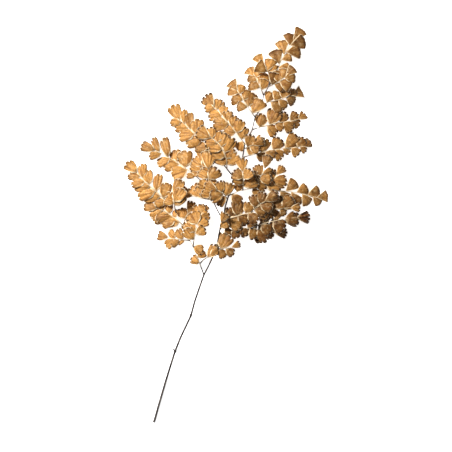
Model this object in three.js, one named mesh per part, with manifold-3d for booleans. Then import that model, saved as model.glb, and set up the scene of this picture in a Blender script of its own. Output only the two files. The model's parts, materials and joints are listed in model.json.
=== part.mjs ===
import * as THREE from 'three';
import { mergeVertices } from 'three/addons/utils/BufferGeometryUtils.js';
import Module from 'manifold-3d';

// A dried frond of maidenhair fern, picked with its long wiry stipe and lying on a flat surface.
// Millimetres, +Z up. +Y runs from the cut end of the stipe to the tip, and the origin is the middle
// of the frond's outline, on the surface it lies on.
//
// The frond branches twice: the rachis carries pinnae to the left and right, and the pinnae carry
// sprays. A spray is one wiry stalk with leaflets along both sides and one at its end. Each spray is
// one solid, as it grew.

const wasm = await Module();
wasm.setup();

// ---------------------------------------------------------------- driving dimensions

const CENTRE_X = -15.5;             // middle of the outline, seen from the cut end of the stipe
const CENTRE_Y = 232;

const STIPE_RADIUS = 1.15;          // at the cut end
const RACHIS_TIP_RADIUS = 0.5;
const PINNA_RADIUS = 0.6;           // stalk of a pinna or spray where it leaves its parent
const STALK_TIP_RADIUS = 0.35;
const JOINT_GAP = 0.35;             // clear space between a stalk and the one it grows from

const LEAF_THICKNESS = 0.6;         // a dry leaflet with its edge curled under
const LEAF_FOOT = 0.7;              // width of a leaflet where it meets its stalk
const LEAF_FAN = 0.82;              // width of a leaflet, as a part of its length
const LEAF_SHOULDER = 0.78;         // how far out the straight sides run, as a part of the length
const FORWARD_ANGLE = 62;           // degrees from stalk to leaflet, at the foot of a spray
const FORWARD_LOSS = 16;            // degrees that this angle loses towards the spray's end

const TURN_VARIES = 9;              // degrees either way, from leaflet to leaflet
const PITCH_VARIES = 7;
const ROLL_VARIES = 13;
const FAN_VARIES = 0.1;

const STEM_SIDES = 7;
const STEM_STEPS = 60;
const STALK_SIDES = 5;
const STALK_STEP = 7;               // length of a spray's stalk between rings

// ---------------------------------------------------------------- the layout

// The stipe and the rachis above it: x, y from the cut end, and height over the surface.
const STEM = [
  [0, 0.5, 1.2], [-1.5, 18.5, 1.6], [-3.5, 49, 3], [-5, 82.5, 5], [-4.5, 100, 6.2], [-2, 126, 8],
  [-3.5, 143, 9.2], [-4, 173, 11], [-2.5, 184, 11.6], [-1, 200, 12.3], [-1, 207, 12.6],
  [-4, 222, 13], [-4.5, 228, 13.2], [-3.5, 236.5, 13.4], [-7.5, 250, 13.8], [-8, 261.5, 14],
  [-9.5, 274, 14.2], [-8.5, 284, 14.3], [-8.5, 305, 14.3], [-8, 308.5, 14.3], [-11, 324.5, 14.1],
  [-8.5, 341, 13.8], [-10.5, 355.5, 13.4], [-7, 368.5, 12.9], [-10, 381, 12.3], [-8, 391.5, 11.8],
  [-9, 399.5, 11.4], [-5.5, 411.5, 10.8],
];

// Each pinna or spray: the stalk it leaves and how far along (at), its heading there (degrees from
// +Y towards +X), its length, how far it bends on the way (degrees), the height of its end, how much
// it arches over the straight line to there (lift), the bare lengths before the first leaflet on its
// left and right, the steps from leaflet to leaflet on each side (even to the end where not given), and
// the leaflets on its left, on its right and at its end. A leaflet is its length, or its length, how
// far it is turned clockwise from its usual heading, and its width as a part of the usual width.
const SPRAYS = [
  { name: 'left_1', from: 'stem', at: 173, heading: -39, length: 82, bend: -11, end: 8, lift: 2,
    bare: [14, 21], step: [13, 12], left: [[10, 0, 1.2]], right: [[9, 25], [11, 90]] },
  { name: 'left_1_basal', from: 'left_1', at: 13, heading: 15, length: 14, bend: 36, end: 17, lift: 2,
    bare: [11, 9], left: [[15, 20, 0.8]], right: [], tip: [14, -16] },
  { name: 'left_1a', from: 'left_1', at: 41, heading: -108, length: 25, bend: 11, end: 6.9, lift: 2,
    bare: [6, 8], step: [6, 8.5], left: [[8, 25, 0.6], 10, 12], right: [12, 11], tip: 12 },
  { name: 'left_1b', from: 'left_1', at: 58, heading: -58, length: 36, bend: -36, end: 5, lift: -1,
    bare: [6, 13], left: [15, 16, 16, 16, 14], right: [9, 12, 13], tip: 14 },
  { name: 'left_1c', from: 'left_1', at: 82, heading: -69, length: 55.5, bend: 6, end: 4.3, lift: 3,
    bare: [10, 4], step: [7.9, 10.6], left: [12, 18, 18, [17, 0, 0.8], [15, 0, 0.75], [15, 0, 0.7]],
    right: [[13, -10], [16, 4], [18, 2, 0.75], [16, -3, 0.75], [15, -8, 0.75]],
    tip: 16 },
  { name: 'left_1d', from: 'left_1', at: 75, heading: -37, length: 20, bend: 19, end: 14, lift: 2,
    bare: [10, 8], left: [10], right: [14, 16, 11], tip: [17, 22] },
  { name: 'left_1e', from: 'left_1', at: 33, heading: -13, length: 37, bend: 14, end: 11, lift: 5,
    bare: [8, 15], step: [8.5, 9], left: [14, 15, 15, 14], right: [11, 12, 11], tip: 13 },
  { name: 'left_1f', from: 'left_1', at: 59, heading: -6, length: 15, bend: 14, end: 4.8, lift: -1,
    bare: [8, 7], left: [12], right: [12], tip: 13 },
  { name: 'left_2', from: 'left_3', at: 38, heading: -64, length: 75, bend: -21, end: 5, lift: -5,
    bare: [22, 25], step: [11.3, 11.2], left: [[9, 20], [17, -6], 16, [15, 0, 0.8], [13, 0, 0.8]],
    right: [14, 18, 14, [20, -4, 0.6], [16, -6, 0.6]], tip: 15 },
  { name: 'left_3', from: 'stem', at: 237, heading: -56, length: 60, bend: 38, end: 20, lift: 0,
    bare: [30, 38], left: [11, 12, 12], right: [11, 14], tip: 18 },
  { name: 'left_3b', from: 'left_3', at: 26, heading: -105, length: 23, bend: 14, end: 6, lift: -2,
    bare: [3, 3], left: [], right: [13, [15, 10], 15], tip: 17 },
  { name: 'left_3c', from: 'left_2', at: 7, heading: -36, length: 26, bend: 14, end: 10.2, lift: 0.1,
    bare: [12, 14], left: [13, 13, 12], right: [12, 14], tip: 16 },
  { name: 'left_3d', from: 'stem', at: 261, heading: -44, length: 15, bend: -50, end: 21, lift: 1,
    bare: [3.5, 4], step: [4, 5.5], left: [[12, -40], 14], right: [14, 12], tip: 14 },
  { name: 'left_4a', from: 'stem', at: 285, heading: -56, length: 89, bend: -14, end: 4.3, lift: 3,
    bare: [35, 44], step: [10.3, 9.6], left: [14, 14, 16, 17, 15, 12],
    right: [12, 12, 17, [18, 0, 0.65], [15, 0, 0.65]], tip: [18, 23, 0.9] },
  { name: 'left_4b', from: 'left_4a', at: 14, heading: -14, length: 40, bend: -68, end: 22, lift: 4,
    bare: [4, 4], step: [9, 6.8], left: [13, 15, 13, 12],
    right: [[15, -8], 12, 16, 14, 12, 12], tip: 16 },
  { name: 'left_5', from: 'stem', at: 325, heading: -56, length: 53, bend: -7, end: 8.6, lift: 3,
    bare: [4, 6], step: [12, 8.6], left: [[10, -58], 13, 16, 14, 11],
    right: [[13, -12], 14, 12, 11, 11, [13, 14]], tip: [17, 0, 0.9] },
  { name: 'left_6', from: 'stem', at: 357, heading: -56, length: 35.5, bend: 6, end: 9, lift: 2,
    bare: [14, 5], step: [9, 8.5], left: [11, 12, 12], right: [[16, 5], 15, 12, 11], tip: [13, -8] },
  { name: 'left_7', from: 'stem', at: 384, heading: -43, length: 23, bend: -3, end: 9, lift: 1,
    bare: [9, 6], step: [8, 7.5], left: [12, [11, 15]], right: [12, 13, 10], tip: [13, -12] },
  { name: 'left_8', from: 'stem', at: 404, heading: -45, length: 15, bend: -10, end: 16, lift: 1,
    bare: [8, 3], left: [[13, 16]], right: [12, 13], tip: [14, 2] },
  { name: 'apex', from: 'stem', at: 416, heading: 2, length: 38, bend: 14, end: 5.8, lift: 1,
    bare: [8, 4], step: [12, 9.5], left: [[15, 12], 15, 13], right: [[12, 14], 10, 15, 16],
    tip: 17 },
  { name: 'right_9', from: 'stem', at: 395, heading: 57, length: 22, bend: -34, end: 17, lift: 1.5,
    bare: [4, 6.5], step: [6.5, 6.5], left: [13, 12, 11], right: [10, 12, 11], tip: 12 },
  { name: 'right_8', from: 'stem', at: 374, heading: 57, length: 34, bend: -6, end: 8, lift: 3,
    bare: [5, 9], step: [8.7, 9], left: [12, 10, 11, 10], right: [14, 11, 11], tip: [13, -5] },
  { name: 'right_7', from: 'stem', at: 343, heading: 53, length: 53, bend: 8, end: 3.5, lift: 1,
    bare: [8.5, 17], step: [11.5, 9], left: [14, 17, 12, [12, 14, 0.8]], right: [13, 10, 13, 11],
    tip: [10, -32] },
  { name: 'right_6', from: 'stem', at: 310, heading: 53, length: 68, bend: 13, end: 7, lift: 3,
    bare: [7.5, 16], step: [13.5, 9.7], left: [12, 15, 14, [18, 8], 12],
    right: [10, 11, 12, [9, -10], 11, 8], tip: [11, -32] },
  { name: 'right_6b', from: 'stem', at: 320, heading: 52, length: 10, bend: -10, end: 19, lift: 1,
    bare: [4, 6], left: [[13, 6]], right: [11], tip: 12 },
  { name: 'right_5', from: 'stem', at: 265, heading: 41, length: 52, bend: 45, end: 13, lift: 1,
    bare: [10, 4], step: [20, 24], left: [10, 13], right: [[13, 20], 10] },
  { name: 'right_5a', from: 'right_5', at: 17, heading: -14, length: 20, bend: -12, end: 25, lift: 4,
    bare: [6, 4], left: [11, 12], right: [15, 12], tip: 15 },
  { name: 'right_5b', from: 'right_5', at: 25, heading: 31, length: 28, bend: -30, end: 18.7, lift: 1.5,
    bare: [9, 8], left: [12, [12, -8]], right: [12, 12, [11, 0, 0.6]], tip: [14, -6, 0.85] },
  { name: 'right_5c', from: 'right_5', at: 38, heading: 33, length: 22.5, bend: -12, end: 12.5, lift: 1,
    bare: [9, 6], left: [12, 11], right: [15, 15], tip: 12 },
  { name: 'right_4', from: 'right_5', at: 52, heading: 70, length: 48, bend: 18, end: 5.2, lift: 1,
    bare: [13, 6.5], step: [12, 12.3], left: [14, 12, [14, 18]], right: [15, 15, 13, 11],
    tip: [13, -26] },
  { name: 'left_2b', from: 'stem', at: 226, heading: -30, length: 9, bend: 40, end: 20, lift: 0,
    bare: [4, 3], left: [], right: [10], tip: 12 },
  { name: 'right_3', from: 'stem', at: 237, heading: 48, length: 75, bend: 22, end: 17, lift: 3,
    bare: [5, 3.5], step: [10, 12], left: [12, 15, 12, 15, 17, 15, [15, 18]],
    right: [[16, -15], 13, 13, 12, 10, 9], tip: 10 },
  { name: 'right_3b', from: 'right_3', at: 31, heading: 22, length: 20, bend: 20, end: 25, lift: 1,
    bare: [7, 5], left: [13, 12], right: [12, 13], tip: 14 },
  { name: 'right_2b', from: 'right_2', at: 33, heading: 48, length: 53, bend: 18, end: 11.5, lift: 3.3,
    bare: [14, 12], left: [13, [11, 15, 0.55], [11, 15, 0.55]], right: [13, 14, [14, -32]], tip: [14, 2] },
  { name: 'right_2', from: 'stem', at: 228, heading: 66, length: 60, bend: 16, end: 7.5, lift: 0,
    bare: [7, 5], step: [11.5, 9], left: [[12, -20], 10, 11, 13, 14],
    right: [10, 11, 10, 12, [16, -8], [10, -20]], tip: 13 },
  { name: 'right_2c', from: 'right_2', at: 24, heading: 95, length: 14, bend: 14, end: 3.5, lift: -2,
    bare: [6, 4], left: [11], right: [9], tip: 10 },
  { name: 'right_1', from: 'stem', at: 205, heading: 78, length: 17.5, bend: -28, end: 16.5, lift: 1,
    bare: [5, 3], left: [[16, -6]], right: [10, 10], tip: 9 },
];

// ---------------------------------------------------------------- where a stalk runs

const radians = (degrees) => degrees * Math.PI / 180;

// The stem's place and heading at a length s from its cut end, measured in plan.
function stemAt(s) {
  let left = s;
  for (let i = 1; i < STEM.length; i++) {
    const from = new THREE.Vector3(...STEM[i - 1]);
    const to = new THREE.Vector3(...STEM[i]);
    const run = Math.hypot(to.x - from.x, to.y - from.y);
    if (left <= run || i === STEM.length - 1) {
      const point = from.clone().lerp(to, Math.min(left / run, 1));
      return { point, heading: Math.atan2(to.x - from.x, to.y - from.y) };
    }
    left -= run;
  }
}

const stemLength = STEM.slice(1).reduce(
  (sum, [x, y], i) => sum + Math.hypot(x - STEM[i][0], y - STEM[i][1]), 0);

// A spray's place and heading at a length s along it. In plan it is an arc of even bend.
function sprayAt(spray, s) {
  const start = radians(spray.heading);
  const turn = radians(spray.bend || 0.01) / spray.length;
  const heading = start + turn * s;
  const t = s / spray.length;
  const foot = footOf(spray).point;
  const point = new THREE.Vector3(
    foot.x + (Math.cos(start) - Math.cos(heading)) / turn,
    foot.y + (Math.sin(heading) - Math.sin(start)) / turn,
    foot.z + (spray.end - foot.z) * t + spray.lift * 4 * t * (1 - t));
  return { point, heading };
}

// Where a spray's line starts, on the middle line of the stalk that it grows from.
function footOf(spray) {
  if (spray.from === 'stem') return stemAt(spray.at);
  return sprayAt(SPRAYS.find((other) => other.name === spray.from), spray.at);
}

function radiusOf(name, s) {
  if (name === 'stem') return THREE.MathUtils.lerp(STIPE_RADIUS, RACHIS_TIP_RADIUS, s / stemLength);
  const spray = SPRAYS.find((other) => other.name === name);
  return THREE.MathUtils.lerp(PINNA_RADIUS, STALK_TIP_RADIUS, s / spray.length);
}

// How far along its own line a spray's solid begins, so that it stays clear of the stalk it leaves.
// A spray that carries on from its parent's end only keeps the gap.
function clearStart(spray) {
  const parentLength = spray.from === 'stem'
    ? stemLength : SPRAYS.find((other) => other.name === spray.from).length;
  if (spray.at >= parentLength - 1) return JOINT_GAP + PINNA_RADIUS;
  const angle = Math.abs(radians(spray.heading) - footOf(spray).heading);
  return (radiusOf(spray.from, spray.at) + PINNA_RADIUS + JOINT_GAP) / Math.sin(angle);
}

// ---------------------------------------------------------------- solids

// A closed geometry, its shared corners merged, as a solid that can be joined to others.
function solid(geometry) {
  geometry.deleteAttribute('normal');
  geometry.deleteAttribute('uv');
  const merged = mergeVertices(geometry, 1e-4);
  return new wasm.Manifold(new wasm.Mesh({
    numProp: 3,
    vertProperties: merged.attributes.position.array,
    triVerts: new Uint32Array(merged.index.array),
  }));
}

// A finished solid as a named mesh.
function meshOf(name, made, material) {
  const { vertProperties, triVerts } = made.getMesh();
  const geometry = new THREE.BufferGeometry();
  geometry.setAttribute('position', new THREE.BufferAttribute(vertProperties, 3));
  geometry.setIndex(new THREE.BufferAttribute(triVerts, 1));
  geometry.computeVertexNormals();
  const mesh = new THREE.Mesh(geometry, material);
  mesh.name = name;
  return mesh;
}

// A tapering round stalk through the points. A tube of radius 1 is drawn first, then each of its
// vertices is moved in or out from the nearest step on the path.
function stalk(points, sides, steps, startRadius, endRadius) {
  const path = new THREE.CatmullRomCurve3(points, false, 'centripetal');
  const section = new THREE.Shape();
  for (let i = 0; i < sides; i++) {
    const angle = 2 * Math.PI * i / sides;
    section[i ? 'lineTo' : 'moveTo'](Math.cos(angle), Math.sin(angle));
  }
  const tube = new THREE.ExtrudeGeometry(section, { steps, extrudePath: path, bevelEnabled: false });
  const middles = path.getSpacedPoints(steps);
  const position = tube.attributes.position;
  const vertex = new THREE.Vector3();
  for (let i = 0; i < position.count; i++) {
    vertex.fromBufferAttribute(position, i);
    const distances = middles.map((middle) => middle.distanceTo(vertex));
    const step = distances.indexOf(Math.min(...distances));
    const radius = THREE.MathUtils.lerp(startRadius, endRadius, step / steps);
    vertex.sub(middles[step]).multiplyScalar(radius).add(middles[step]);
    position.setXYZ(i, vertex.x, vertex.y, vertex.z);
  }
  return solid(tube);
}

// One leaflet, a thin fan. It grows along +X from its foot at the origin, with a rounded far edge.
function leaflet(length, fan) {
  const halfWidth = length * fan / 2;
  const shoulder = length * LEAF_SHOULDER;
  const outline = new THREE.Shape();
  outline.moveTo(0, -LEAF_FOOT / 2);
  outline.absellipse(shoulder, 0, length - shoulder, halfWidth, -Math.PI / 2, Math.PI / 2);
  outline.lineTo(0, LEAF_FOOT / 2);
  const plate = new THREE.ExtrudeGeometry(outline, {
    depth: LEAF_THICKNESS, curveSegments: 2, bevelEnabled: false,
  });
  return plate.translate(0, 0, -LEAF_THICKNESS / 2);
}

// Turns a leaflet to its heading, raises its tip by the pitch and rolls it about its own length.
function placed(geometry, point, heading, pitch, roll) {
  const along = new THREE.Vector3(
    Math.sin(heading) * Math.cos(pitch), Math.cos(heading) * Math.cos(pitch), Math.sin(pitch));
  const level = new THREE.Vector3(-Math.cos(heading), Math.sin(heading), 0);
  const up = along.clone().cross(level);
  const across = level.multiplyScalar(Math.cos(roll)).addScaledVector(up, Math.sin(roll));
  const normal = along.clone().cross(across);
  return geometry.applyMatrix4(new THREE.Matrix4().makeBasis(along, across, normal).setPosition(point));
}

// ---------------------------------------------------------------- leaflets on a spray

// An even spread from -1 to 1 that never repeats, one number for each leaflet and purpose.
const SPREAD = { turn: 0.618034, pitch: 0.754878, roll: 0.56984, fan: 0.819173 };
const SPRAY_COUNTS = 20;            // room for the leaflets of one spray
const varied = (purpose, count) => 2 * ((count * SPREAD[purpose]) % 1) - 1;

// Where each leaflet of a spray stands: length along the stalk, side (-1 left, 1 right, 0 end), size,
// extra turn clockwise, and width as a part of the usual.
function leafletsOf(spray) {
  const places = [];
  [spray.left, spray.right].forEach((list, k) => {
    const step = spray.step ? spray.step[k] : (spray.length - spray.bare[k]) / list.length;
    list.forEach((leaf, i) => places.push([spray.bare[k] + step * i, 2 * k - 1, leaf]));
  });
  if (spray.tip) places.push([spray.length - 0.5, 0, spray.tip]);
  return places.map(([s, side, leaf]) => {
    const [length, clockwise = 0, width = 1] = [leaf].flat();
    return { s, side, length, clockwise, width };
  });
}

function sprayLeaflets(spray) {
  return leafletsOf(spray).map(({ s, side, length, clockwise, width }, i) => {
    const count = SPRAY_COUNTS * SPRAYS.indexOf(spray) + i;
    const { point, heading } = sprayAt(spray, s);
    const t = s / spray.length;
    const forward = FORWARD_ANGLE - FORWARD_LOSS * t + TURN_VARIES * varied('turn', count);
    const turned = heading + side * radians(forward) + radians(clockwise);
    const ahead = sprayAt(spray, Math.min(s + 1, spray.length)).point;
    const slope = Math.atan2(ahead.z - sprayAt(spray, Math.min(s, spray.length - 1)).point.z, 1);
    const pitch = slope * Math.cos(turned - heading) + radians(PITCH_VARIES * varied('pitch', count));
    const roll = radians(ROLL_VARIES * varied('roll', count));
    const fan = (LEAF_FAN + FAN_VARIES * varied('fan', count)) * width;
    return solid(placed(leaflet(length, fan), point, turned, pitch, roll));
  });
}

// ---------------------------------------------------------------- assembly

const finish = (color, roughness) => new THREE.MeshStandardMaterial({ color, roughness, metalness: 0 });

const frond = new THREE.Group();
frond.name = 'dried_fern_frond';
frond.position.set(-CENTRE_X, -CENTRE_Y, 0);

const stemPoints = STEM.map((place) => new THREE.Vector3(...place));
frond.add(meshOf('stipe_and_rachis',
  stalk(stemPoints, STEM_SIDES, STEM_STEPS, STIPE_RADIUS, RACHIS_TIP_RADIUS), finish(0x5d4a3a, 0.55)));

for (const spray of SPRAYS) {
  const from = clearStart(spray);
  const steps = Math.max(3, Math.round(spray.length / STALK_STEP));
  const points = [];
  for (let i = 0; i <= steps; i++) {
    points.push(sprayAt(spray, from + (spray.length - from) * i / steps).point);
  }
  let made = stalk(points, STALK_SIDES, steps, PINNA_RADIUS, STALK_TIP_RADIUS);
  for (const leaf of sprayLeaflets(spray)) made = made.add(leaf);
  frond.add(meshOf('pinna_' + spray.name, made, finish(0xb78a58, 0.75)));
}

export default frond;
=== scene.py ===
import json
import math

import bpy
import numpy as np
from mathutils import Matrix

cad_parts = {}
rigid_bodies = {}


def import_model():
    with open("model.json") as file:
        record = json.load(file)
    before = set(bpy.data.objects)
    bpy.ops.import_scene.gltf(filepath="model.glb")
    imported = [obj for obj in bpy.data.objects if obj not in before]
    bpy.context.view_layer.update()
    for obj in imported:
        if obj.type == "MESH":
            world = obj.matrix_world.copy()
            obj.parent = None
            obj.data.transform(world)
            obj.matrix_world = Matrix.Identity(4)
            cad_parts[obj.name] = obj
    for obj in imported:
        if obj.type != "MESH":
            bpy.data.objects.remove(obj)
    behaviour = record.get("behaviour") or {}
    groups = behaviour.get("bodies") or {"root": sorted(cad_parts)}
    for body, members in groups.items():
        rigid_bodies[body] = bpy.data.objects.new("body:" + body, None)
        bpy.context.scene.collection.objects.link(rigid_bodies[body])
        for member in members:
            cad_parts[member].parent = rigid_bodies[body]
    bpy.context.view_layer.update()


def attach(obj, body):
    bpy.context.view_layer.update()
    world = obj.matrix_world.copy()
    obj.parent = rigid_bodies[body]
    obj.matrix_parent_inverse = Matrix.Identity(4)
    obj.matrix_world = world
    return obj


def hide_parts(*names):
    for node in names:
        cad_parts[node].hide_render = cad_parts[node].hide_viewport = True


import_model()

# A dried maidenhair fern frond, picked with its long wiry stipe and lying on a white table.
# Metres, +Z up, +Y from the cut end of the stipe to the tip.

# ------------------------------------------------------------------ the camera over the table
# A camera with a long lens hangs over the frond and looks straight down. It is turned so that
# the frond leans to the right, and placed so that the frond's outline is centred in the view.

CAMERA_HEIGHT = 1.9
CAMERA_ROLL = math.radians(20)
CAMERA_OVER = (0.016, 0.0)           # the point on the table under the lens
VIEW_WIDTH = 0.4972                  # what it sees at the height of the leaflets
LEAFLET_HEIGHT = 0.010
SENSOR_WIDTH = 36.0                  # mm
CLIP_END = 10.0

camera_data = bpy.data.cameras.new("overhead_camera")
camera_data.sensor_width = SENSOR_WIDTH
camera_data.lens = SENSOR_WIDTH * (CAMERA_HEIGHT - LEAFLET_HEIGHT) / VIEW_WIDTH
camera_data.clip_end = CLIP_END
camera = bpy.data.objects.new("overhead_camera", camera_data)
camera.location = (*CAMERA_OVER, CAMERA_HEIGHT)
camera.rotation_euler = (0.0, 0.0, CAMERA_ROLL)
bpy.context.scene.collection.objects.link(camera)
bpy.context.scene.camera = camera

# ------------------------------------------------------------------ the table and the light
# A matt white tabletop that glows as a light table does, so that shadows on it all but vanish.
# The main light is a round lamp to the upper left of the camera's view, small enough to shade
# the leaflets crisply, and the white room fills in a little from all round.

def linear(srgb_hex):
    """An sRGB colour, as hex, in linear light with an alpha of one."""
    channels = np.array([srgb_hex >> 16 & 255, srgb_hex >> 8 & 255, srgb_hex & 255]) / 255
    low = channels / 12.92
    high = ((channels + 0.055) / 1.055) ** 2.4
    return (*np.where(channels > 0.04045, high, low), 1.0)


def add_node(tree, kind, inputs=None, **settings):
    """A node of that kind with its settings. Each input is a value, or the socket to link from."""
    node = tree.nodes.new(kind)
    for setting, value in settings.items():
        setattr(node, setting, value)
    for socket, value in (inputs or {}).items():
        if isinstance(value, bpy.types.NodeSocket):
            tree.links.new(value, node.inputs[socket])
        else:
            node.inputs[socket].default_value = value
    return node


TABLE_HALF = 3.0
TABLE_WHITE = linear(0xF4F4F4)
TABLE_ROUGHNESS = 0.9
TABLE_GLOW = 0.95
ROOM_WHITE = linear(0xFFFFFF)
ROOM_STRENGTH = 0.2
LAMP_PLACE = np.array([-1.15, 0.45, 1.35])
LAMP_WIDTH = 0.4
LAMP_WATTS = 56.0

# Matt white board lit through from below: flat, even and without any sheen.
table_board = bpy.data.materials.new("matt_white_tabletop")
table_board.use_nodes = True
table_shader = table_board.node_tree.nodes["Principled BSDF"]
table_shader.inputs["Base Color"].default_value = TABLE_WHITE
table_shader.inputs["Roughness"].default_value = TABLE_ROUGHNESS
table_shader.inputs["Emission Color"].default_value = TABLE_WHITE
table_shader.inputs["Emission Strength"].default_value = TABLE_GLOW

table_corners = TABLE_HALF * np.array([[-1, -1, 0], [1, -1, 0], [1, 1, 0], [-1, 1, 0]])
table_mesh = bpy.data.meshes.new("tabletop")
table_mesh.from_pydata(table_corners.tolist(), [], [[0, 1, 2, 3]])
table_mesh.materials.append(table_board)
table = bpy.data.objects.new("tabletop", table_mesh)
bpy.context.scene.collection.objects.link(table)

room = bpy.data.worlds.new("white_room")
room.use_nodes = True
room.node_tree.nodes["Background"].inputs["Color"].default_value = ROOM_WHITE
room.node_tree.nodes["Background"].inputs["Strength"].default_value = ROOM_STRENGTH
bpy.context.scene.world = room

lamp_data = bpy.data.lights.new("soft_lamp", "AREA")
lamp_data.shape = "DISK"
lamp_data.size = LAMP_WIDTH
lamp_data.energy = LAMP_WATTS
lamp = bpy.data.objects.new("soft_lamp", lamp_data)
lamp.location = LAMP_PLACE
lamp_aim = -LAMP_PLACE               # at the middle of the frond
lamp.rotation_euler = (
    math.acos(-lamp_aim[2] / np.linalg.norm(lamp_aim)),
    0.0,
    math.atan2(lamp_aim[1], lamp_aim[0]) - math.pi / 2,
)
bpy.context.scene.collection.objects.link(lamp)
bpy.context.scene.view_settings.view_transform = "Standard"

# ------------------------------------------------------------------ the stipe and rachis
# The frond's one main stalk, from the cut end to the tip: the bare stipe, and above the lowest
# branch the rachis. It is hard, wiry and polished, dark brown as it dried, with two small knots
# and the stub of a lost branch on its bare part. It bends a little at each branch.

MM = 0.001
OUTLINE_MIDDLE = np.array([-15.5, 232.0, 0.0])   # mm from the cut end

# Millimetres from the cut end: x, y and the height of the middle line over the table.
STEM = np.array([
    [0, 0.5, 1.2], [-1.5, 18.5, 1.6], [-3.5, 49, 3], [-5, 82.5, 5], [-4.5, 100, 6.2],
    [-2, 126, 8], [-3.5, 143, 9.2], [-4, 173, 11], [-2.5, 184, 11.6], [-1, 200, 12.3],
    [-1, 207, 12.6], [-4, 222, 13], [-4.5, 228, 13.2], [-3.5, 236.5, 13.4], [-7.5, 250, 13.8],
    [-8, 261.5, 14], [-9.5, 274, 14.2], [-8.5, 284, 14.3], [-8.5, 305, 14.3], [-8, 308.5, 14.3],
    [-11, 324.5, 14.1], [-8.5, 341, 13.8], [-10.5, 355.5, 13.4], [-7, 368.5, 12.9],
    [-10, 381, 12.3], [-8, 391.5, 11.8], [-9, 399.5, 11.4], [-5.5, 411.5, 10.8],
])
STIPE_RADIUS = 1.25
RACHIS_TIP_RADIUS = 0.6
STEM_SIDES = 16
STEM_RING_STEP = 1.5
BEND_SMOOTHING = np.array([1.0, 3.0, 4.0, 3.0, 1.0]) / 12.0   # weights over five rings
KNOTS = ((82.8, 0.5), (126.3, 0.42))             # where along the stem, and how proud
KNOT_SPREAD = 1.5
STUB = dict(at=82.8, heading=-62, length=4.2, slope=0.12, radius=(0.85, 0.45), rings=7, sides=10)
HOOK_LENGTH = 3.0                                # the cut end curls over this far
HOOK_SHIFT = np.array([-0.9, 0.4, 0.0])          # and by this much
PART_TRAITS = ("tone", "lobes", "spores")        # numbers that a part's material reads

stem_runs = np.hypot(*np.diff(STEM[:, :2], axis=0).T)
stem_lengths = np.concatenate([[0.0], np.cumsum(stem_runs)])
stem_length = stem_lengths[-1]


def on_stem(s):
    """The point at plan length s from the cut end, on straight runs between the given points."""
    return np.stack([np.interp(s, stem_lengths, STEM[:, axis]) for axis in range(3)], axis=-1)


def tube(path, radius, sides):
    """A closed round skin along a path. Ring i is path point i plus its radius times
    (cos a across + sin a up), where across is level and up is square to it and the path."""
    tangent = np.gradient(path, axis=0)
    tangent /= np.linalg.norm(tangent, axis=1, keepdims=True)
    across = np.cross(tangent, [0.0, 0.0, 1.0])
    across /= np.linalg.norm(across, axis=1, keepdims=True)
    up = np.cross(across, tangent)
    angle = 2 * np.pi * np.arange(sides) / sides
    spoke = (np.cos(angle)[None, :, None] * across[:, None, :]
             + np.sin(angle)[None, :, None] * up[:, None, :])
    points = path[:, None, :] + radius[:, None, None] * spoke
    ring, side = np.meshgrid(np.arange(len(path) - 1), np.arange(sides), indexing="ij")
    near = ring * sides + side
    near_next = ring * sides + (side + 1) % sides
    skin = np.stack([near, near + sides, near_next + sides, near_next], axis=-1).reshape(-1, 4)
    cap = np.arange(sides)
    caps = np.stack([cap, (len(path) - 1) * sides + cap[::-1]])
    along = np.concatenate([[0.0], np.cumsum(np.linalg.norm(np.diff(path, axis=0), axis=1))])
    around = np.arange(sides) / sides
    uv = np.stack(np.broadcast_arrays(around[None, :], along[:, None]), axis=-1)
    return dict(
        points=points.reshape(-1, 3), faces=[skin, caps],
        smooth=np.repeat([True, False], [len(skin), len(caps)]), uv=uv.reshape(-1, 2), paint=0)


def grown(name, parts, paints):
    """One mesh object from parts in millimetres from the cut end, whose points go to the
    frond's place: (point - OUTLINE_MIDDLE) in metres. Each part brings its faces, their
    smoothness, a UV and numbers for each point, and which of the paints it has."""
    points = (np.concatenate([part["points"] for part in parts]) - OUTLINE_MIDDLE) * MM
    faces, start = [], 0
    for part in parts:
        for patch in part["faces"]:
            faces += (patch + start).tolist()
        start += len(part["points"])
    mesh = bpy.data.meshes.new(name)
    mesh.from_pydata(points.tolist(), [], faces)
    mesh.polygons.foreach_set("use_smooth", np.concatenate([part["smooth"] for part in parts]))
    mesh.polygons.foreach_set("material_index", np.concatenate(
        [np.full(len(part["smooth"]), part["paint"], np.int32) for part in parts]))
    corner_points = np.empty(len(mesh.loops), np.int32)
    mesh.loops.foreach_get("vertex_index", corner_points)
    uv = np.concatenate([part["uv"] for part in parts])[corner_points]
    mesh.uv_layers.new(name="UVMap").uv.foreach_set("vector", uv.astype(np.float32).ravel())
    for trait in PART_TRAITS:
        worth = [np.full(len(part["points"]), part.get(trait, 0.0)) for part in parts]
        attribute = mesh.attributes.new(trait, "FLOAT", "POINT")
        attribute.data.foreach_set("value", np.concatenate(worth).astype(np.float32))
    for paint in paints:
        mesh.materials.append(paint)
    piece = bpy.data.objects.new(name, mesh)
    bpy.context.scene.collection.objects.link(piece)
    return piece


COLOUR_A, COLOUR_B, COLOUR_OUT = 6, 7, 2         # the colour sockets of a Mix node
STALK_BROWN = linear(0x1F1712)
STALK_BLOTCHED = linear(0x241B17)
STALK_WEATHERED = linear(0x7C7066)
STALK_STRAW = linear(0xD9C29C)
STREAK_SCALE = (5.0, 0.12, 1.0)      # streaks in a turn, and in a millimetre along the stalk
STREAK_DETAIL = 3.0
WEATHERS_FROM, WEATHERED_AT = 0.46, 0.72         # of the streaks' noise
BLOTCH_SCALE = 90.0                  # blotches in a metre, about 11 mm each
BLOTCH_DETAIL = 2.0
BLOTCHES_FROM, BLOTCHED_AT = 0.5, 0.75           # of the blotches' noise
GROOVE_STRENGTH = 0.35
GROOVE_DEPTH = 0.1 * MM
STALK_ROUGHNESS = 0.36

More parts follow.
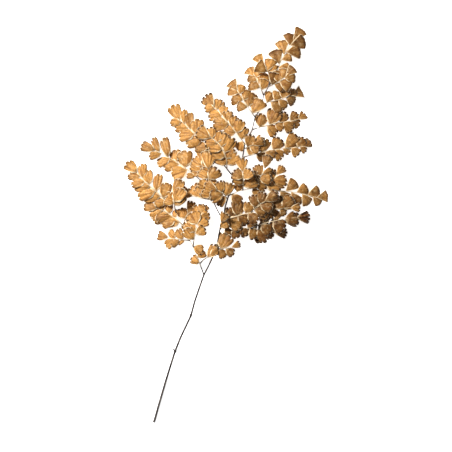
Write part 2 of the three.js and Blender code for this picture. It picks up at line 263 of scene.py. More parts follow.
# Polished sclerenchyma, the hard skin of a fern's stalk, dried: nearly black-brown with a low
# shine, faintly blotched, and greyed in streaks along it where the skin has weathered. Among the
# leaflets it has paled to straw. UV is turns round the stalk and millimetres along it; tone is
# how far it paled.
stalk_skin = bpy.data.materials.new("polished_fern_stalk")
stalk_skin.use_nodes = True
tree = stalk_skin.node_tree
uv = add_node(tree, "ShaderNodeUVMap", uv_map="UVMap").outputs[0]
streak_way = add_node(tree, "ShaderNodeMapping", {0: uv, "Scale": STREAK_SCALE})
streaks = add_node(tree, "ShaderNodeTexNoise", {
    0: streak_way.outputs[0], "Scale": 1.0, "Detail": STREAK_DETAIL})
weathered_where = add_node(tree, "ShaderNodeMapRange", {
    0: streaks.outputs[0], "From Min": WEATHERS_FROM, "From Max": WEATHERED_AT})
blotches = add_node(tree, "ShaderNodeTexNoise", {
    0: add_node(tree, "ShaderNodeTexCoord").outputs["Object"],
    "Scale": BLOTCH_SCALE, "Detail": BLOTCH_DETAIL})
blotched_where = add_node(tree, "ShaderNodeMapRange", {
    0: blotches.outputs[0], "From Min": BLOTCHES_FROM, "From Max": BLOTCHED_AT})
paled_where = add_node(tree, "ShaderNodeAttribute", attribute_name="tone")
skin_colour = STALK_BROWN
for where, tint in ((blotched_where.outputs[0], STALK_BLOTCHED),
                    (weathered_where.outputs[0], STALK_WEATHERED),
                    (paled_where.outputs["Fac"], STALK_STRAW)):
    skin_colour = add_node(tree, "ShaderNodeMix", {
        0: where, COLOUR_A: skin_colour, COLOUR_B: tint}, data_type="RGBA").outputs[COLOUR_OUT]
grooves = add_node(tree, "ShaderNodeBump", {
    "Height": streaks.outputs[0], "Strength": GROOVE_STRENGTH, "Distance": GROOVE_DEPTH})
shader = tree.nodes["Principled BSDF"]
shader.inputs["Roughness"].default_value = STALK_ROUGHNESS
tree.links.new(skin_colour, shader.inputs["Base Color"])
tree.links.new(grooves.outputs[0], shader.inputs["Normal"])

stem_s = np.linspace(0.0, stem_length, int(stem_length / STEM_RING_STEP))
beyond_ends = len(BEND_SMOOTHING) // 2
padded_line = np.pad(
    on_stem(stem_s), ((beyond_ends, beyond_ends), (0, 0)), mode="reflect", reflect_type="odd")
stem_line = np.stack(
    [np.convolve(padded_line[:, axis], BEND_SMOOTHING, mode="valid") for axis in range(3)], axis=1)
hook = np.clip(1 - stem_s / HOOK_LENGTH, 0, 1) ** 2
stem_line += hook[:, None] * HOOK_SHIFT
stem_radius = np.interp(stem_s, [0.0, stem_length], [STIPE_RADIUS, RACHIS_TIP_RADIUS])
for knot_at, knot_proud in KNOTS:
    stem_radius += knot_proud * np.exp(-((stem_s - knot_at) / KNOT_SPREAD) ** 2)

stub_heading = math.radians(STUB["heading"])
stub_way = np.array([math.sin(stub_heading), math.cos(stub_heading), STUB["slope"]])
stub_reach = np.linspace(0.0, STUB["length"], STUB["rings"])
stub_line = on_stem(STUB["at"]) + stub_reach[:, None] * stub_way
stub_radius = np.linspace(*STUB["radius"], STUB["rings"])

stem_parts = [tube(stem_line, stem_radius, STEM_SIDES), tube(stub_line, stub_radius, STUB["sides"])]
stipe = grown("stipe_and_rachis_skin", stem_parts, [stalk_skin])
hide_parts("stipe_and_rachis")
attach(stipe, "root")

# ------------------------------------------------------------------ the sprays of leaflets
# Wiry side stalks, each with papery fan-shaped leaflets along both sides and one at its end,
# notched into lobes whose ends fold under over dark spore cases. They grew as one leaf with the
# rachis, and have dried golden on the frond's left and browner on its right. On the crowded
# sprays low on the right that brown is partly painted shade.

# Each spray: the stalk it leaves and how far along (at), its heading there (degrees from +Y
# towards +X), its length, how far it bends on the way (degrees, never 0), the height of its end,
# how much it arches over the straight line to there (lift), the bare lengths before the first
# leaflet on its left and right, and the steps from leaflet to leaflet on each side (even to the
# end where not given). form is its leaflets' shape, and brown is how far they browned, with
# painted shade added in on the crowded sprays low on the right. left, right and tip are its
# leaflets. Each is its length, and where that isn't all, how far it is turned clockwise from its
# usual heading, and then its width as a part of the usual width.
SPRAYS = [
    dict(name="left_1", parent="stem", at=173, heading=-39, length=82, bend=-11, end=8, lift=2,
         bare=(14, 21), step=(13, 12), form="lobed", brown=0.15, left=[(10, 0, 1.2)],
         right=[(9, 25), (11, 90)]),
    dict(name="left_1_basal", parent="left_1", at=13, heading=15, length=14, bend=36, end=17,
         lift=2, bare=(11, 9), form="lobed", brown=0.3, left=[(15, 20, 0.8)], right=[],
         tip=(14, -16)),
    dict(name="left_1a", parent="left_1", at=41, heading=-108, length=25, bend=11, end=6.9, lift=2,
         bare=(6, 8), step=(6, 8.5), form="oblong", brown=0.1, left=[(8, 25, 0.6), 10, 12],
         right=[12, 11], tip=12),
    dict(name="left_1b", parent="left_1", at=58, heading=-58, length=36, bend=-36, end=5, lift=-1,
         bare=(6, 13), form="oblong", brown=0.15, left=[15, 16, 16, 16, 14], right=[9, 12, 13],
         tip=14),
    dict(name="left_1c", parent="left_1", at=82, heading=-69, length=55.5, bend=6, end=4.3, lift=3,
         bare=(10, 4), step=(7.9, 10.6), form="oblong", brown=0.05,
         left=[12, 18, 18, (17, 0, 0.8), (15, 0, 0.75), (15, 0, 0.7)],
         right=[(13, -10), (16, 4), (18, 2, 0.75), (16, -3, 0.75), (15, -8, 0.75)], tip=16),
    dict(name="left_1d", parent="left_1", at=75, heading=-37, length=20, bend=19, end=14, lift=2,
         bare=(10, 8), form="oblong", brown=0.1, left=[10], right=[14, 16, 11], tip=(17, 22)),
    dict(name="left_1e", parent="left_1", at=33, heading=-13, length=37, bend=14, end=11, lift=5,
         bare=(8, 15), step=(8.5, 9), form="lobed", brown=0.1, left=[14, 15, 15, 14],
         right=[11, 12, 11], tip=13),
    dict(name="left_1f", parent="left_1", at=59, heading=-6, length=15, bend=14, end=4.8, lift=-1,
         bare=(8, 7), form="lobed", brown=0.15, left=[12], right=[12], tip=13),
    dict(name="left_2", parent="left_3", at=38, heading=-64, length=75, bend=-21, end=5, lift=-5,
         bare=(22, 25), step=(11.3, 11.2), form="oblong", brown=0.1,
         left=[(9, 20), (17, -6), 16, (15, 0, 0.8), (13, 0, 0.8)],
         right=[14, 18, 14, (20, -4, 0.6), (16, -6, 0.6)], tip=15),
    dict(name="left_3", parent="stem", at=237, heading=-56, length=60, bend=38, end=20, lift=0,
         bare=(30, 38), form="lobed", brown=0.15, left=[11, 12, 12], right=[11, 14], tip=18),
    dict(name="left_3b", parent="left_3", at=26, heading=-105, length=23, bend=14, end=6, lift=-2,
         bare=(3, 3), form="lobed", brown=0.2, left=[], right=[13, (15, 10), 15], tip=17),
    dict(name="left_3c", parent="left_2", at=7, heading=-36, length=26, bend=14, end=10.2,
         lift=0.1, bare=(12, 14), form="lobed", brown=0.15, left=[13, 13, 12], right=[12, 14],
         tip=16),
    dict(name="left_3d", parent="stem", at=261, heading=-44, length=15, bend=-50, end=21, lift=1,
         bare=(3.5, 4), step=(4, 5.5), form="lobed", brown=0.15, left=[(12, -40), 14],
         right=[14, 12], tip=14),
    dict(name="left_4a", parent="stem", at=285, heading=-56, length=89, bend=-14, end=4.3, lift=3,
         bare=(35, 44), step=(10.3, 9.6), form="oblong", brown=0.15, left=[14, 14, 16, 17, 15, 12],
         right=[12, 12, 17, (18, 0, 0.65), (15, 0, 0.65)], tip=(18, 23, 0.9)),
    dict(name="left_4b", parent="left_4a", at=14, heading=-14, length=40, bend=-68, end=22, lift=4,
         bare=(4, 4), step=(9, 6.8), form="lobed", brown=0.2, left=[13, 15, 13, 12],
         right=[(15, -8), 12, 16, 14, 12, 12], tip=16),
    dict(name="left_5", parent="stem", at=325, heading=-56, length=53, bend=-7, end=8.6, lift=3,
         bare=(4, 6), step=(12, 8.6), form="lobed", brown=0.25, left=[(10, -58), 13, 16, 14, 11],
         right=[(13, -12), 14, 12, 11, 11, (13, 14)], tip=(17, 0, 0.9)),
    dict(name="left_6", parent="stem", at=357, heading=-56, length=35.5, bend=6, end=9, lift=2,
         bare=(14, 5), step=(9, 8.5), form="square", brown=0.3, left=[11, 12, 12],
         right=[(16, 5), 15, 12, 11], tip=(13, -8)),
    dict(name="left_7", parent="stem", at=384, heading=-43, length=23, bend=-3, end=9, lift=1,
         bare=(9, 6), step=(8, 7.5), form="square", brown=0.3, left=[12, (11, 15)],
         right=[12, 13, 10], tip=(13, -12)),
    dict(name="left_8", parent="stem", at=404, heading=-45, length=15, bend=-10, end=16, lift=1,
         bare=(8, 3), form="fan", brown=0.3, left=[(13, 16)], right=[12, 13], tip=(14, 2)),
    dict(name="apex", parent="stem", at=416, heading=2, length=38, bend=14, end=5.8, lift=1,
         bare=(8, 4), step=(12, 9.5), form="fan", brown=0.45, left=[(15, 12), 15, 13],
         right=[(12, 14), 10, 15, 16], tip=17),
    dict(name="right_9", parent="stem", at=395, heading=57, length=22, bend=-34, end=17, lift=1.5,
         bare=(4, 6.5), step=(6.5, 6.5), form="square", brown=0.45, left=[13, 12, 11],
         right=[10, 12, 11], tip=12),
    dict(name="right_8", parent="stem", at=374, heading=57, length=34, bend=-6, end=8, lift=3,
         bare=(5, 9), step=(8.7, 9), form="square", brown=0.4, left=[12, 10, 11, 10],
         right=[14, 11, 11], tip=(13, -5)),
    dict(name="right_7", parent="stem", at=343, heading=53, length=53, bend=8, end=3.5, lift=1,
         bare=(8.5, 17), step=(11.5, 9), form="lobed", brown=0.45,
         left=[14, 17, 12, (12, 14, 0.8)], right=[13, 10, 13, 11], tip=(10, -32)),
    dict(name="right_6", parent="stem", at=310, heading=53, length=68, bend=13, end=7, lift=3,
         bare=(7.5, 16), step=(13.5, 9.7), form="lobed", brown=0.5, left=[12, 15, 14, (18, 8), 12],
         right=[10, 11, 12, (9, -10), 11, 8], tip=(11, -32)),
    dict(name="right_6b", parent="stem", at=320, heading=52, length=10, bend=-10, end=19, lift=1,
         bare=(4, 6), form="lobed", brown=0.35, left=[(13, 6)], right=[11], tip=12),
    dict(name="right_5", parent="stem", at=265, heading=41, length=52, bend=45, end=13, lift=1,
         bare=(10, 4), step=(20, 24), form="lobed", brown=0.5, left=[10, 13],
         right=[(13, 20), 10]),
    dict(name="right_5a", parent="right_5", at=17, heading=-14, length=20, bend=-12, end=25,
         lift=4, bare=(6, 4), form="lobed", brown=0.4, left=[11, 12], right=[15, 12], tip=15),
    dict(name="right_5b", parent="right_5", at=25, heading=31, length=28, bend=-30, end=18.7,
         lift=1.5, bare=(9, 8), form="lobed", brown=0.45, left=[12, (12, -8)],
         right=[12, 12, (11, 0, 0.6)], tip=(14, -6, 0.85)),
    dict(name="right_5c", parent="right_5", at=38, heading=33, length=22.5, bend=-12, end=12.5,
         lift=1, bare=(9, 6), form="lobed", brown=0.5, left=[12, 11], right=[15, 15], tip=12),
    dict(name="right_4", parent="right_5", at=52, heading=70, length=48, bend=18, end=5.2, lift=1,
         bare=(13, 6.5), step=(12, 12.3), form="fan", brown=0.5, left=[14, 12, (14, 18)],
         right=[15, 15, 13, 11], tip=(13, -26)),
    dict(name="left_2b", parent="stem", at=226, heading=-30, length=9, bend=40, end=20, lift=0,
         bare=(4, 3), form="lobed", brown=0.3, left=[], right=[10], tip=12),
    dict(name="right_3", parent="stem", at=237, heading=48, length=75, bend=22, end=17, lift=3,
         bare=(5, 3.5), step=(10, 12), form="lobed", brown=0.6,
         left=[12, 15, 12, 15, 17, 15, (15, 18)], right=[(16, -15), 13, 13, 12, 10, 9], tip=10),
    dict(name="right_3b", parent="right_3", at=31, heading=22, length=20, bend=20, end=25, lift=1,
         bare=(7, 5), form="lobed", brown=0.7, left=[13, 12], right=[12, 13], tip=14),
    dict(name="right_2b", parent="right_2", at=33, heading=48, length=53, bend=18, end=11.5,
         lift=3.3, bare=(14, 12), form="lobed", brown=0.8,
         left=[13, (11, 15, 0.55), (11, 15, 0.55)], right=[13, 14, (14, -32)], tip=(14, 2)),
    dict(name="right_2", parent="stem", at=228, heading=66, length=60, bend=16, end=7.5, lift=0,
         bare=(7, 5), step=(11.5, 9), form="lobed", brown=0.8, left=[(12, -20), 10, 11, 13, 14],
         right=[10, 11, 10, 12, (16, -8), (10, -20)], tip=13),
    dict(name="right_2c", parent="right_2", at=24, heading=95, length=14, bend=14, end=3.5,
         lift=-2, bare=(6, 4), form="lobed", brown=0.85, left=[11], right=[9], tip=10),
    dict(name="right_1", parent="stem", at=205, heading=78, length=17.5, bend=-28, end=16.5,
         lift=1, bare=(5, 3), form="lobed", brown=0.4, left=[(16, -6)], right=[10, 10], tip=9),
]

PINNA_RADIUS = 0.85                  # of a side stalk at its foot
LEAFED_RADIUS = 0.45                 # at its first leaflet
STALK_TIP_RADIUS = 0.16
STALK_SIDES = 8
STALK_RING_STEP = 2.0
STALK_RINGS_LEAST = 5
PALING_LENGTH = 18.0                 # over which it turns from dark to straw
PALED_AT_LEAF = 0.3                  # how far it has turned at its first leaflet
TIP_INSET = 0.5                      # the end leaflet starts this far inside the stalk's end
FOOTSTALK = 0.4
FOOTSTALK_RADIUS = (0.24, 0.15)
FOOTSTALK_UNDER_BLADE = 0.7          # how far it runs on into the blade
FOOTSTALK_RINGS = 4
FOOTSTALK_SIDES = 5

FORWARD_ANGLE = 62                   # degrees from stalk to leaflet, at the foot of a spray
FORWARD_LOSS = 16                    # degrees that this angle loses towards the spray's end
TURN_VARIES = 9
PITCH_VARIES = 7
ROLL_VARIES = 13
FAN_VARIES = 0.12                    # of a blade's width
VARIED_STEPS = dict(turn=0.618034, pitch=0.754878, roll=0.56984, fan=0.819173)
COUNTS_EACH = 20                     # numbers kept for the leaflets of each spray
FIRST_SEED = 700

BLADE_GROWS = 1.17                   # longer than given, for what its lobes and curl take away
BLADE_THICKNESS = 0.25
BLADE_FOOT = 1.3
BLADE_ROWS = np.array([0.0, 0.34, 0.68, 0.92, 1.0])
LOBE_COLUMNS = np.array([0.0, 0.15, 0.5, 0.85])
SMALL_LEAFLET = 13.0                 # a shorter blade has one lobe fewer
BELLY_NEAR = 0.65                    # below 1 the belly sits nearer the foot
NOTCH_VARIES = (0.55, 1.4)
REACH_VARIES = 0.02
ARCH = (-0.35, 0.0)                  # the range of the bend along a blade
CUP = (-1.2, 0.5)                    # and across it
HEM_WAVE = 0.035                     # as a part of the blade's length
HEM_DROP = 0.3
NOTCH_HOLDS = 0.6                    # how much less the hem drops at a notch
TABLE_CLEAR = 0.2
TONE_VARIES = 0.25
SPORES_VARY = (0.5, 1.25)

# sweep: degrees from the blade's middle to its edge on the spray's foot side and tip side.
# shoulder: how long those edges are. crown: how square the margin's corners are. fall: how much
# the margin draws in on the tip side. notch: how deep the cuts between lobes are. belly: how far
# the edges bow outwards. lobes: how many. spores: how plainly the spore cases show.
FORMS = {
    "fan": dict(sweep=(25, 44), shoulder=0.86, crown=6.0, fall=0.05, notch=0.02,
                belly=0.04, lobes=4, spores=0.3),
    "square": dict(sweep=(33, 46), shoulder=0.78, crown=5.0, fall=0.05, notch=0.05,
                   belly=0.08, lobes=4, spores=0.32),
    "lobed": dict(sweep=(33, 45), shoulder=0.66, crown=3.4, fall=0.08, notch=0.15,
                  belly=0.13, lobes=4, spores=0.8),
    "oblong": dict(sweep=(25, 37), shoulder=0.66, crown=3.2, fall=0.12, notch=0.12,
                   belly=0.16, lobes=3, spores=0.28),
}
END_FORMS = {
    "fan": dict(sweep=(28, 28), shoulder=0.94, crown=8.0, fall=0.0, notch=0.01,
                belly=0.0, lobes=4, spores=0.1),
    "square": dict(sweep=(29, 29), shoulder=0.94, crown=8.0, fall=0.0, notch=0.01,
                   belly=0.0, lobes=4, spores=0.1),
    "lobed": dict(sweep=(32, 32), shoulder=0.78, crown=3.4, fall=0.0, notch=0.14,
                  belly=0.05, lobes=4, spores=0.7),
    "oblong": dict(sweep=(28, 28), shoulder=0.7, crown=3.2, fall=0.0, notch=0.12,
                   belly=0.1, lobes=3, spores=0.35),
}

# The mix from gold to brown also carries painted shade on the crowded sprays low on the right.
LEAF_GOLD = linear(0xC8904B)
LEAF_BROWN = linear(0x40240B)
LEAF_PALE = linear(0xEFCF9C)
LEAF_VEIN = linear(0x7A4A1E)
LEAF_BURNT = linear(0x522D0C)
# The rim colours are a painted highlight: cream on golden blades, tan on brown ones.
LEAF_RIM_HIGHLIGHT = linear(0xFFEDC8)
LEAF_RIM_HIGHLIGHT_BROWN = linear(0xDDC398)
SPORE_BROWN = linear(0x2E1C0D)
LEAF_ROUGHNESS = 0.55
LEAF_SPECULAR = 0.15

# Widths in metres. A mark comes up from the first noise value and is full at the second.
PATCH_WIDTH = 0.005
PATCH_DETAIL = 3.0
NOISE_MIDDLE = 0.5
MARK_DETAIL = 2.0
FADED_SPOTS = dict(width=0.003, noise=(0.52, 0.7), strength=0.3, colour=LEAF_PALE)
BROWN_FLECKS = dict(width=0.0014, noise=(0.52, 0.7), strength=0.55, colour=LEAF_BROWN)
CRINKLE_STRENGTH = 0.35
CRINKLE_HEIGHT = 0.001

# Real veins lie half a millimetre apart. These are drawn about twice as coarse, so that they
# show. Tone is a different number on each blade, and moves the veins along in their noise.
VEINS_ACROSS = 13.0
VEINS_ALONG = 1.1
VEINS_MOVED = 40.0
VEIN_DETAIL = 1.0
VEIN_NOISE = (0.5, 0.64)
VEIN_STRENGTH = 0.75
RIB_STRENGTH = 0.9
RIB_HEIGHT = 0.0004

# Margin, rims and spore cases are placed in parts of a blade's length, from its foot or in from
# its edges. The rims are a painted highlight along the edges. Across a lobe, the spore cases are
# placed in parts of its width.
MARGIN_OUT = (0.78, 0.92)
MARGIN_STRENGTH = 0.9
MARGIN_LEAST = 0.35                  # how far the margin browns on a golden blade
RIM_WIDTH = 0.03
RIM_ENDS = (1.4 * RIM_WIDTH, 0.8 * RIM_WIDTH)    # where it ends, and where it is full
RIM_HIGHLIGHT_STRENGTH = 0.9
RIM_OUT = (0.05, 0.3)                # a rim is faint at the foot and full from here
RIM_AT_FOOT = 0.3
SPORES_ACROSS = (0.34, 0.22)         # from a lobe's middle
SPORES_OUT = (0.84, 0.9)

# A dried fern blade, papery and matt: golden brown in soft patches, with faded spots and brown
# flecks, faint veins that fan out from the foot, a burnt brown margin, thin cream rims along the
# sides and the hem that are a painted highlight, and dark spore cases at the ends of the lobes.
# Its brown holds painted shade on the crowded sprays low on the right. UV is how far across the
# blade, and how far out from its foot.
leaf_paper = bpy.data.materials.new("papery_dried_leaflet")
leaf_paper.use_nodes = True
tree = leaf_paper.node_tree
blade_uv = add_node(tree, "ShaderNodeSeparateXYZ", {
    0: add_node(tree, "ShaderNodeUVMap", uv_map="UVMap").outputs[0]})
across, out = blade_uv.outputs[0], blade_uv.outputs[1]
place = add_node(tree, "ShaderNodeTexCoord").outputs["Object"]
tone, lobes, spores = (
    add_node(tree, "ShaderNodeAttribute", attribute_name=trait).outputs["Fac"]
    for trait in PART_TRAITS)

patches = add_node(tree, "ShaderNodeTexNoise", {
    0: place, "Scale": 1 / PATCH_WIDTH, "Detail": PATCH_DETAIL})
patch_shift = add_node(tree, "ShaderNodeMath", {
    0: patches.outputs[0], 1: NOISE_MIDDLE}, operation="SUBTRACT")
# The mix towards brown: browning, and on the crowded sprays low on the right also painted shade.
browning_and_shade = add_node(tree, "ShaderNodeMath", {
    0: tone, 1: patch_shift.outputs[0]}, operation="ADD", use_clamp=True)
leaf_colour = add_node(tree, "ShaderNodeMix", {
    0: browning_and_shade.outputs[0], COLOUR_A: LEAF_GOLD, COLOUR_B: LEAF_BROWN},
    data_type="RGBA").outputs[COLOUR_OUT]
for mark in (FADED_SPOTS, BROWN_FLECKS):
    mark_noise = add_node(tree, "ShaderNodeTexNoise", {
        0: place, "Scale": 1 / mark["width"], "Detail": MARK_DETAIL})
    mark_where = add_node(tree, "ShaderNodeMapRange", {
        0: mark_noise.outputs[0], "From Min": mark["noise"][0], "From Max": mark["noise"][1],
        "To Max": mark["strength"]})
    leaf_colour = add_node(tree, "ShaderNodeMix", {
        0: mark_where.outputs[0], COLOUR_A: leaf_colour, COLOUR_B: mark["colour"]},
        data_type="RGBA").outputs[COLOUR_OUT]

vein_way = add_node(tree, "ShaderNodeCombineXYZ", {
    axis: add_node(tree, "ShaderNodeMath", {0: way, 1: scale}, operation="MULTIPLY").outputs[0]
    for axis, (way, scale) in enumerate(
        ((across, VEINS_ACROSS), (out, VEINS_ALONG), (tone, VEINS_MOVED)))})
veins = add_node(tree, "ShaderNodeTexNoise", {
    0: vein_way.outputs[0], "Scale": 1.0, "Detail": VEIN_DETAIL})
vein_where = add_node(tree, "ShaderNodeMapRange", {
    0: veins.outputs[0], "From Min": VEIN_NOISE[0], "From Max": VEIN_NOISE[1],
    "To Max": VEIN_STRENGTH})

margin_line = add_node(tree, "ShaderNodeMapRange", {
    0: out, "From Min": MARGIN_OUT[0], "From Max": MARGIN_OUT[1], "To Max": MARGIN_STRENGTH})
margin_tone = add_node(tree, "ShaderNodeMath", {0: tone, 1: MARGIN_LEAST}, operation="ADD")
margin_where = add_node(tree, "ShaderNodeMath", {
    0: margin_line.outputs[0], 1: margin_tone.outputs[0]}, operation="MULTIPLY", use_clamp=True)

# The way to the nearest edge is the shorter of (0.5 - |across - 0.5|) out and 1 - out.
off_midline = add_node(tree, "ShaderNodeMath", {
    0: add_node(tree, "ShaderNodeMath", {0: across, 1: 0.5}, operation="SUBTRACT").outputs[0]},
    operation="ABSOLUTE")
from_side = add_node(tree, "ShaderNodeMath", {0: 0.5, 1: off_midline.outputs[0]},
                     operation="SUBTRACT")
to_side = add_node(tree, "ShaderNodeMath", {0: from_side.outputs[0], 1: out}, operation="MULTIPLY")
to_hem = add_node(tree, "ShaderNodeMath", {0: 1.0, 1: out}, operation="SUBTRACT")
to_edge = add_node(tree, "ShaderNodeMath", {
    0: to_side.outputs[0], 1: to_hem.outputs[0]}, operation="MINIMUM")
# The rims: a painted highlight, a thin cream line along the sides and the hem where curled edges
# would catch the light, faint at the foot.
rim_highlight_line = add_node(tree, "ShaderNodeMapRange", {
    0: to_edge.outputs[0], "From Min": RIM_ENDS[0], "From Max": RIM_ENDS[1],
    "To Max": RIM_HIGHLIGHT_STRENGTH})
rim_highlight_from_foot = add_node(tree, "ShaderNodeMapRange", {
    0: out, "From Min": RIM_OUT[0], "From Max": RIM_OUT[1], "To Min": RIM_AT_FOOT})
rim_highlight_where = add_node(tree, "ShaderNodeMath", {
    0: rim_highlight_line.outputs[0], 1: rim_highlight_from_foot.outputs[0]}, operation="MULTIPLY")
rim_highlight_colour = add_node(tree, "ShaderNodeMix", {
    0: tone, COLOUR_A: LEAF_RIM_HIGHLIGHT, COLOUR_B: LEAF_RIM_HIGHLIGHT_BROWN}, data_type="RGBA")

lobe_phase = add_node(tree, "ShaderNodeMath", {0: across, 1: lobes}, operation="MULTIPLY")
lobe_part = add_node(tree, "ShaderNodeMath", {0: lobe_phase.outputs[0]}, operation="FRACT")
off_lobe_middle = add_node(tree, "ShaderNodeMath", {
    0: add_node(tree, "ShaderNodeMath", {
        0: lobe_part.outputs[0], 1: 0.5}, operation="SUBTRACT").outputs[0]},
    operation="ABSOLUTE")
spore_across = add_node(tree, "ShaderNodeMapRange", {
    0: off_lobe_middle.outputs[0], "From Min": SPORES_ACROSS[0], "From Max": SPORES_ACROSS[1]})
spore_out = add_node(tree, "ShaderNodeMapRange", {
    0: out, "From Min": SPORES_OUT[0], "From Max": SPORES_OUT[1]})
spore_spot = add_node(tree, "ShaderNodeMath", {
    0: spore_across.outputs[0], 1: spore_out.outputs[0]}, operation="MULTIPLY")
spore_where = add_node(tree, "ShaderNodeMath", {
    0: spore_spot.outputs[0], 1: spores}, operation="MULTIPLY")

for where, tint in ((vein_where, LEAF_VEIN), (margin_where, LEAF_BURNT),
                    (rim_highlight_where, rim_highlight_colour.outputs[COLOUR_OUT]), (spore_where, SPORE_BROWN)):
    leaf_colour = add_node(tree, "ShaderNodeMix", {
        0: where.outputs[0], COLOUR_A: leaf_colour, COLOUR_B: tint},
        data_type="RGBA").outputs[COLOUR_OUT]

ribbing = add_node(tree, "ShaderNodeBump", {
    "Height": veins.outputs[0], "Strength": RIB_STRENGTH, "Distance": RIB_HEIGHT})
crinkle = add_node(tree, "ShaderNodeBump", {
    "Height": patches.outputs[0], "Strength": CRINKLE_STRENGTH, "Distance": CRINKLE_HEIGHT,
    "Normal": ribbing.outputs[0]})
shader = tree.nodes["Principled BSDF"]
shader.inputs["Roughness"].default_value = LEAF_ROUGHNESS
shader.inputs["Specular IOR Level"].default_value = LEAF_SPECULAR
tree.links.new(leaf_colour, shader.inputs["Base Color"])
tree.links.new(crinkle.outputs[0], shader.inputs["Normal"])


def varied(purpose, count):
    """A number from -1 to 1 for a leaflet and a purpose: 2 fraction(count step) - 1. The steps
    are no simple fractions, so the numbers spread evenly and no two leaflets have the same."""
    return 2 * ((count * VARIED_STEPS[purpose]) % 1) - 1


by_name = {spray["name"]: spray for spray in SPRAYS}


def on_spray(spray, s):
    """The point and heading at length s, or at each of an array of lengths. In plan the stalk is
    an arc of even bend from its foot, and its height is the straight line to its end plus lift
    times 4t(1 - t), where t is s as a part of the length."""
    if spray["parent"] == "stem":
        foot = on_stem(spray["at"])
    else:
        foot, _ = on_spray(by_name[spray["parent"]], spray["at"])
    start = math.radians(spray["heading"])
    turn = math.radians(spray["bend"]) / spray["length"]
    heading = start + turn * s
    t = s / spray["length"]
    return foot + np.stack([
        (np.cos(start) - np.cos(heading)) / turn,
        (np.sin(heading) - np.sin(start)) / turn,
        (spray["end"] - foot[2]) * t + spray["lift"] * 4 * t * (1 - t)], axis=-1), heading


def leaflets_of(spray):
    """Of each leaflet: length along the stalk, side (-1 left, 1 right, 0 end), size, extra turn
    clockwise, and width as a part of the usual."""
    places = []
    for k, leaflets in enumerate((spray["left"], spray["right"])):
        bare = spray["bare"][k]
        even_step = (spray["length"] - bare) / max(len(leaflets), 1)
        step = spray["step"][k] if "step" in spray else even_step
        places += [(bare + step * i, 2 * k - 1, leaflet) for i, leaflet in enumerate(leaflets)]
    if "tip" in spray:
        places.append((spray["length"] - TIP_INSET, 0, spray["tip"]))
    usual_turn_and_width = (0.0, 1.0)
    given = [(leaflet if isinstance(leaflet, tuple) else (leaflet,)) for _, _, leaflet in places]
    return [(s, side, *traits, *usual_turn_and_width[len(traits) - 1:])
            for (s, side, _), traits in zip(places, given)]


def blade(length, widen, form, mirrored, draws):
    """The middle surface and the faces of a blade, a thin closed shell. Across it, s runs from
    the edge on the spray's foot side to the other; out from its foot, v runs to the margin. A
    point lies at v times the reach for s, at the angle for s. The reach is the length times
    shoulder + (1 - shoulder)(1 - |t|^crown)^(1/crown), where t is 2s - 1, less the fall on the
    far side and the notches between lobes. Sideways the belly adds
    belly t length sin(pi v^BELLY_NEAR), widen stretches it, and the foot is BLADE_FOOT wide. Its
    height is arch v^2, cup (y / length)^2 and a wave that grows with v^2, added up and times the
    length, and its hem drops."""
    lobes = form["lobes"] - int(length < SMALL_LEAFLET)
    s = np.append((np.arange(lobes)[:, None] + LOBE_COLUMNS).ravel() / lobes, 1.0)[None, :]
    v = BLADE_ROWS[:, None]
    t = 2 * s - 1
    angle = np.radians(-form["sweep"][0] + sum(form["sweep"]) * s)
    rounding = (1 - np.abs(t) ** form["crown"]) ** (1 / form["crown"])
    reach = form["shoulder"] + (1 - form["shoulder"]) * rounding
    reach = reach * (1 - form["fall"] * s ** 2)
    notched = np.zeros(s.shape)
    notched[0, len(LOBE_COLUMNS):-1:len(LOBE_COLUMNS)] = 1.0
    reach = reach * (1 - form["notch"] * notched * draws.uniform(*NOTCH_VARIES, s.shape))
    reach = reach * length * (1 + draws.uniform(-REACH_VARIES, REACH_VARIES, s.shape))
    belly = form["belly"] * length * t * np.sin(np.pi * v ** BELLY_NEAR)
    x = v * reach * np.cos(angle)
    y = (v * reach * np.sin(angle) + belly) * widen + t * BLADE_FOOT / 2 * (1 - v)
    arch = draws.uniform(*ARCH)
    cup = draws.uniform(*CUP)
    wave = HEM_WAVE * np.sin(np.pi * s * lobes + draws.uniform(0.0, 2 * np.pi))
    z = length * (arch * v ** 2 + cup * (y / length) ** 2 + wave * v ** 2)
    z = z - HEM_DROP * (v >= 1.0) * (1 - NOTCH_HOLDS * notched)
    if mirrored:
        y = -y
    surface = np.stack(np.broadcast_arrays(x, y, z), axis=-1).reshape(-1, 3)
    rows, columns = len(BLADE_ROWS), s.shape[1]
    row, column = np.meshgrid(np.arange(rows - 1), np.arange(columns - 1), indexing="ij")
    near = (row * columns + column).ravel()
    face = np.stack([near, near + columns, near + columns + 1, near + 1], axis=-1)
    under = len(surface)
    border = np.concatenate([
        np.arange(rows - 1) * columns,
        (rows - 1) * columns + np.arange(columns - 1),
        np.arange(rows - 1, 0, -1) * columns + columns - 1,
        np.arange(columns - 1, 0, -1)])
    after = np.roll(border, -1)
    rim = np.stack([border, border + under, after + under, after], axis=-1)
    faces = np.concatenate([face, face[:, ::-1] + under, rim])
    if mirrored:
        faces = faces[:, ::-1]
    uv = np.stack(np.broadcast_arrays(s, v), axis=-1).reshape(-1, 2)
    return dict(
        middle=surface, faces=[faces],
        smooth=np.repeat([True, False], [2 * len(face), len(rim)]),
        uv=np.concatenate([uv, uv]), paint=1, lobes=lobes)


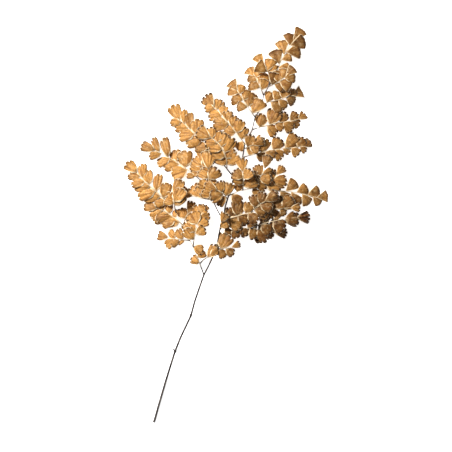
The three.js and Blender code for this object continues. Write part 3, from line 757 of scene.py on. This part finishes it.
def spray_parts(spray, index):
    """The stalk's skin, and for each leaflet its footstalk and its blade. A blade's point
    (x, y, z) goes to the end of its footstalk plus x along the leaflet's pitched heading, y
    across its rolled blade and z square to both, and is lifted where it would go into the table."""
    draws = np.random.default_rng(FIRST_SEED + index)
    length = spray["length"]
    path_s = np.linspace(0.0, length, max(STALK_RINGS_LEAST, int(length / STALK_RING_STEP)))
    path, _ = on_spray(spray, path_s)
    leafless = min(spray["bare"])
    taper = np.interp(
        path_s, [0.0, leafless, length], [PINNA_RADIUS, LEAFED_RADIUS, STALK_TIP_RADIUS])
    stalk = tube(path, taper, STALK_SIDES)
    paled = np.clip((path_s - leafless) / PALING_LENGTH + PALED_AT_LEAF, 0.0, 1.0)
    stalk["tone"] = np.repeat(paled, STALK_SIDES)
    parts = [stalk]
    for i, (s, side, size, clockwise, width) in enumerate(leaflets_of(spray)):
        count = COUNTS_EACH * index + i
        point, heading = on_spray(spray, s)
        forward = FORWARD_ANGLE - FORWARD_LOSS * s / length + TURN_VARIES * varied("turn", count)
        turned = heading + math.radians(side * forward + clockwise)
        next_mm = min(s, length - 1) + np.array([0.0, 1.0])
        stalk_slope = np.diff(on_spray(spray, next_mm)[0][:, 2])[0]
        pitch = math.atan(stalk_slope) * math.cos(turned - heading)
        pitch += math.radians(PITCH_VARIES * varied("pitch", count))
        roll = math.radians(ROLL_VARIES * varied("roll", count))
        along = np.array([
            math.sin(turned) * math.cos(pitch), math.cos(turned) * math.cos(pitch),
            math.sin(pitch)])
        level = np.array([-math.cos(turned), math.sin(turned), 0.0])
        across_blade = level * math.cos(roll) + np.cross(along, level) * math.sin(roll)
        normal = np.cross(along, across_blade)
        form = (FORMS if side else END_FORMS)[spray["form"]]
        widen = width * (1 + FAN_VARIES * varied("fan", count))
        leaf = blade(size * BLADE_GROWS - FOOTSTALK, widen, form, side < 0, draws)
        middle = point + FOOTSTALK * along + leaf.pop("middle") @ [along, across_blade, normal]
        middle[:, 2] = np.maximum(middle[:, 2], TABLE_CLEAR + BLADE_THICKNESS / 2)
        half = BLADE_THICKNESS / 2 * normal
        leaf["points"] = np.concatenate([middle + half, middle - half])
        # A blade's tone is its spray's brown, partly painted shade on the crowded right, plus a
        # random difference.
        leaf["tone"] = spray["brown"] + TONE_VARIES * draws.uniform(-1, 1)
        leaf["spores"] = form["spores"] * draws.uniform(*SPORES_VARY)
        foot_s = np.linspace(0.0, FOOTSTALK + FOOTSTALK_UNDER_BLADE, FOOTSTALK_RINGS)
        foot_radius = np.linspace(*FOOTSTALK_RADIUS, FOOTSTALK_RINGS)
        footstalk = tube(point + foot_s[:, None] * along, foot_radius, FOOTSTALK_SIDES)
        footstalk["tone"] = 1.0
        parts += [footstalk, leaf]
    return parts


for index, spray in enumerate(SPRAYS):
    piece = grown("spray_" + spray["name"], spray_parts(spray, index), [stalk_skin, leaf_paper])
    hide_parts("pinna_" + spray["name"])
    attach(piece, "root")
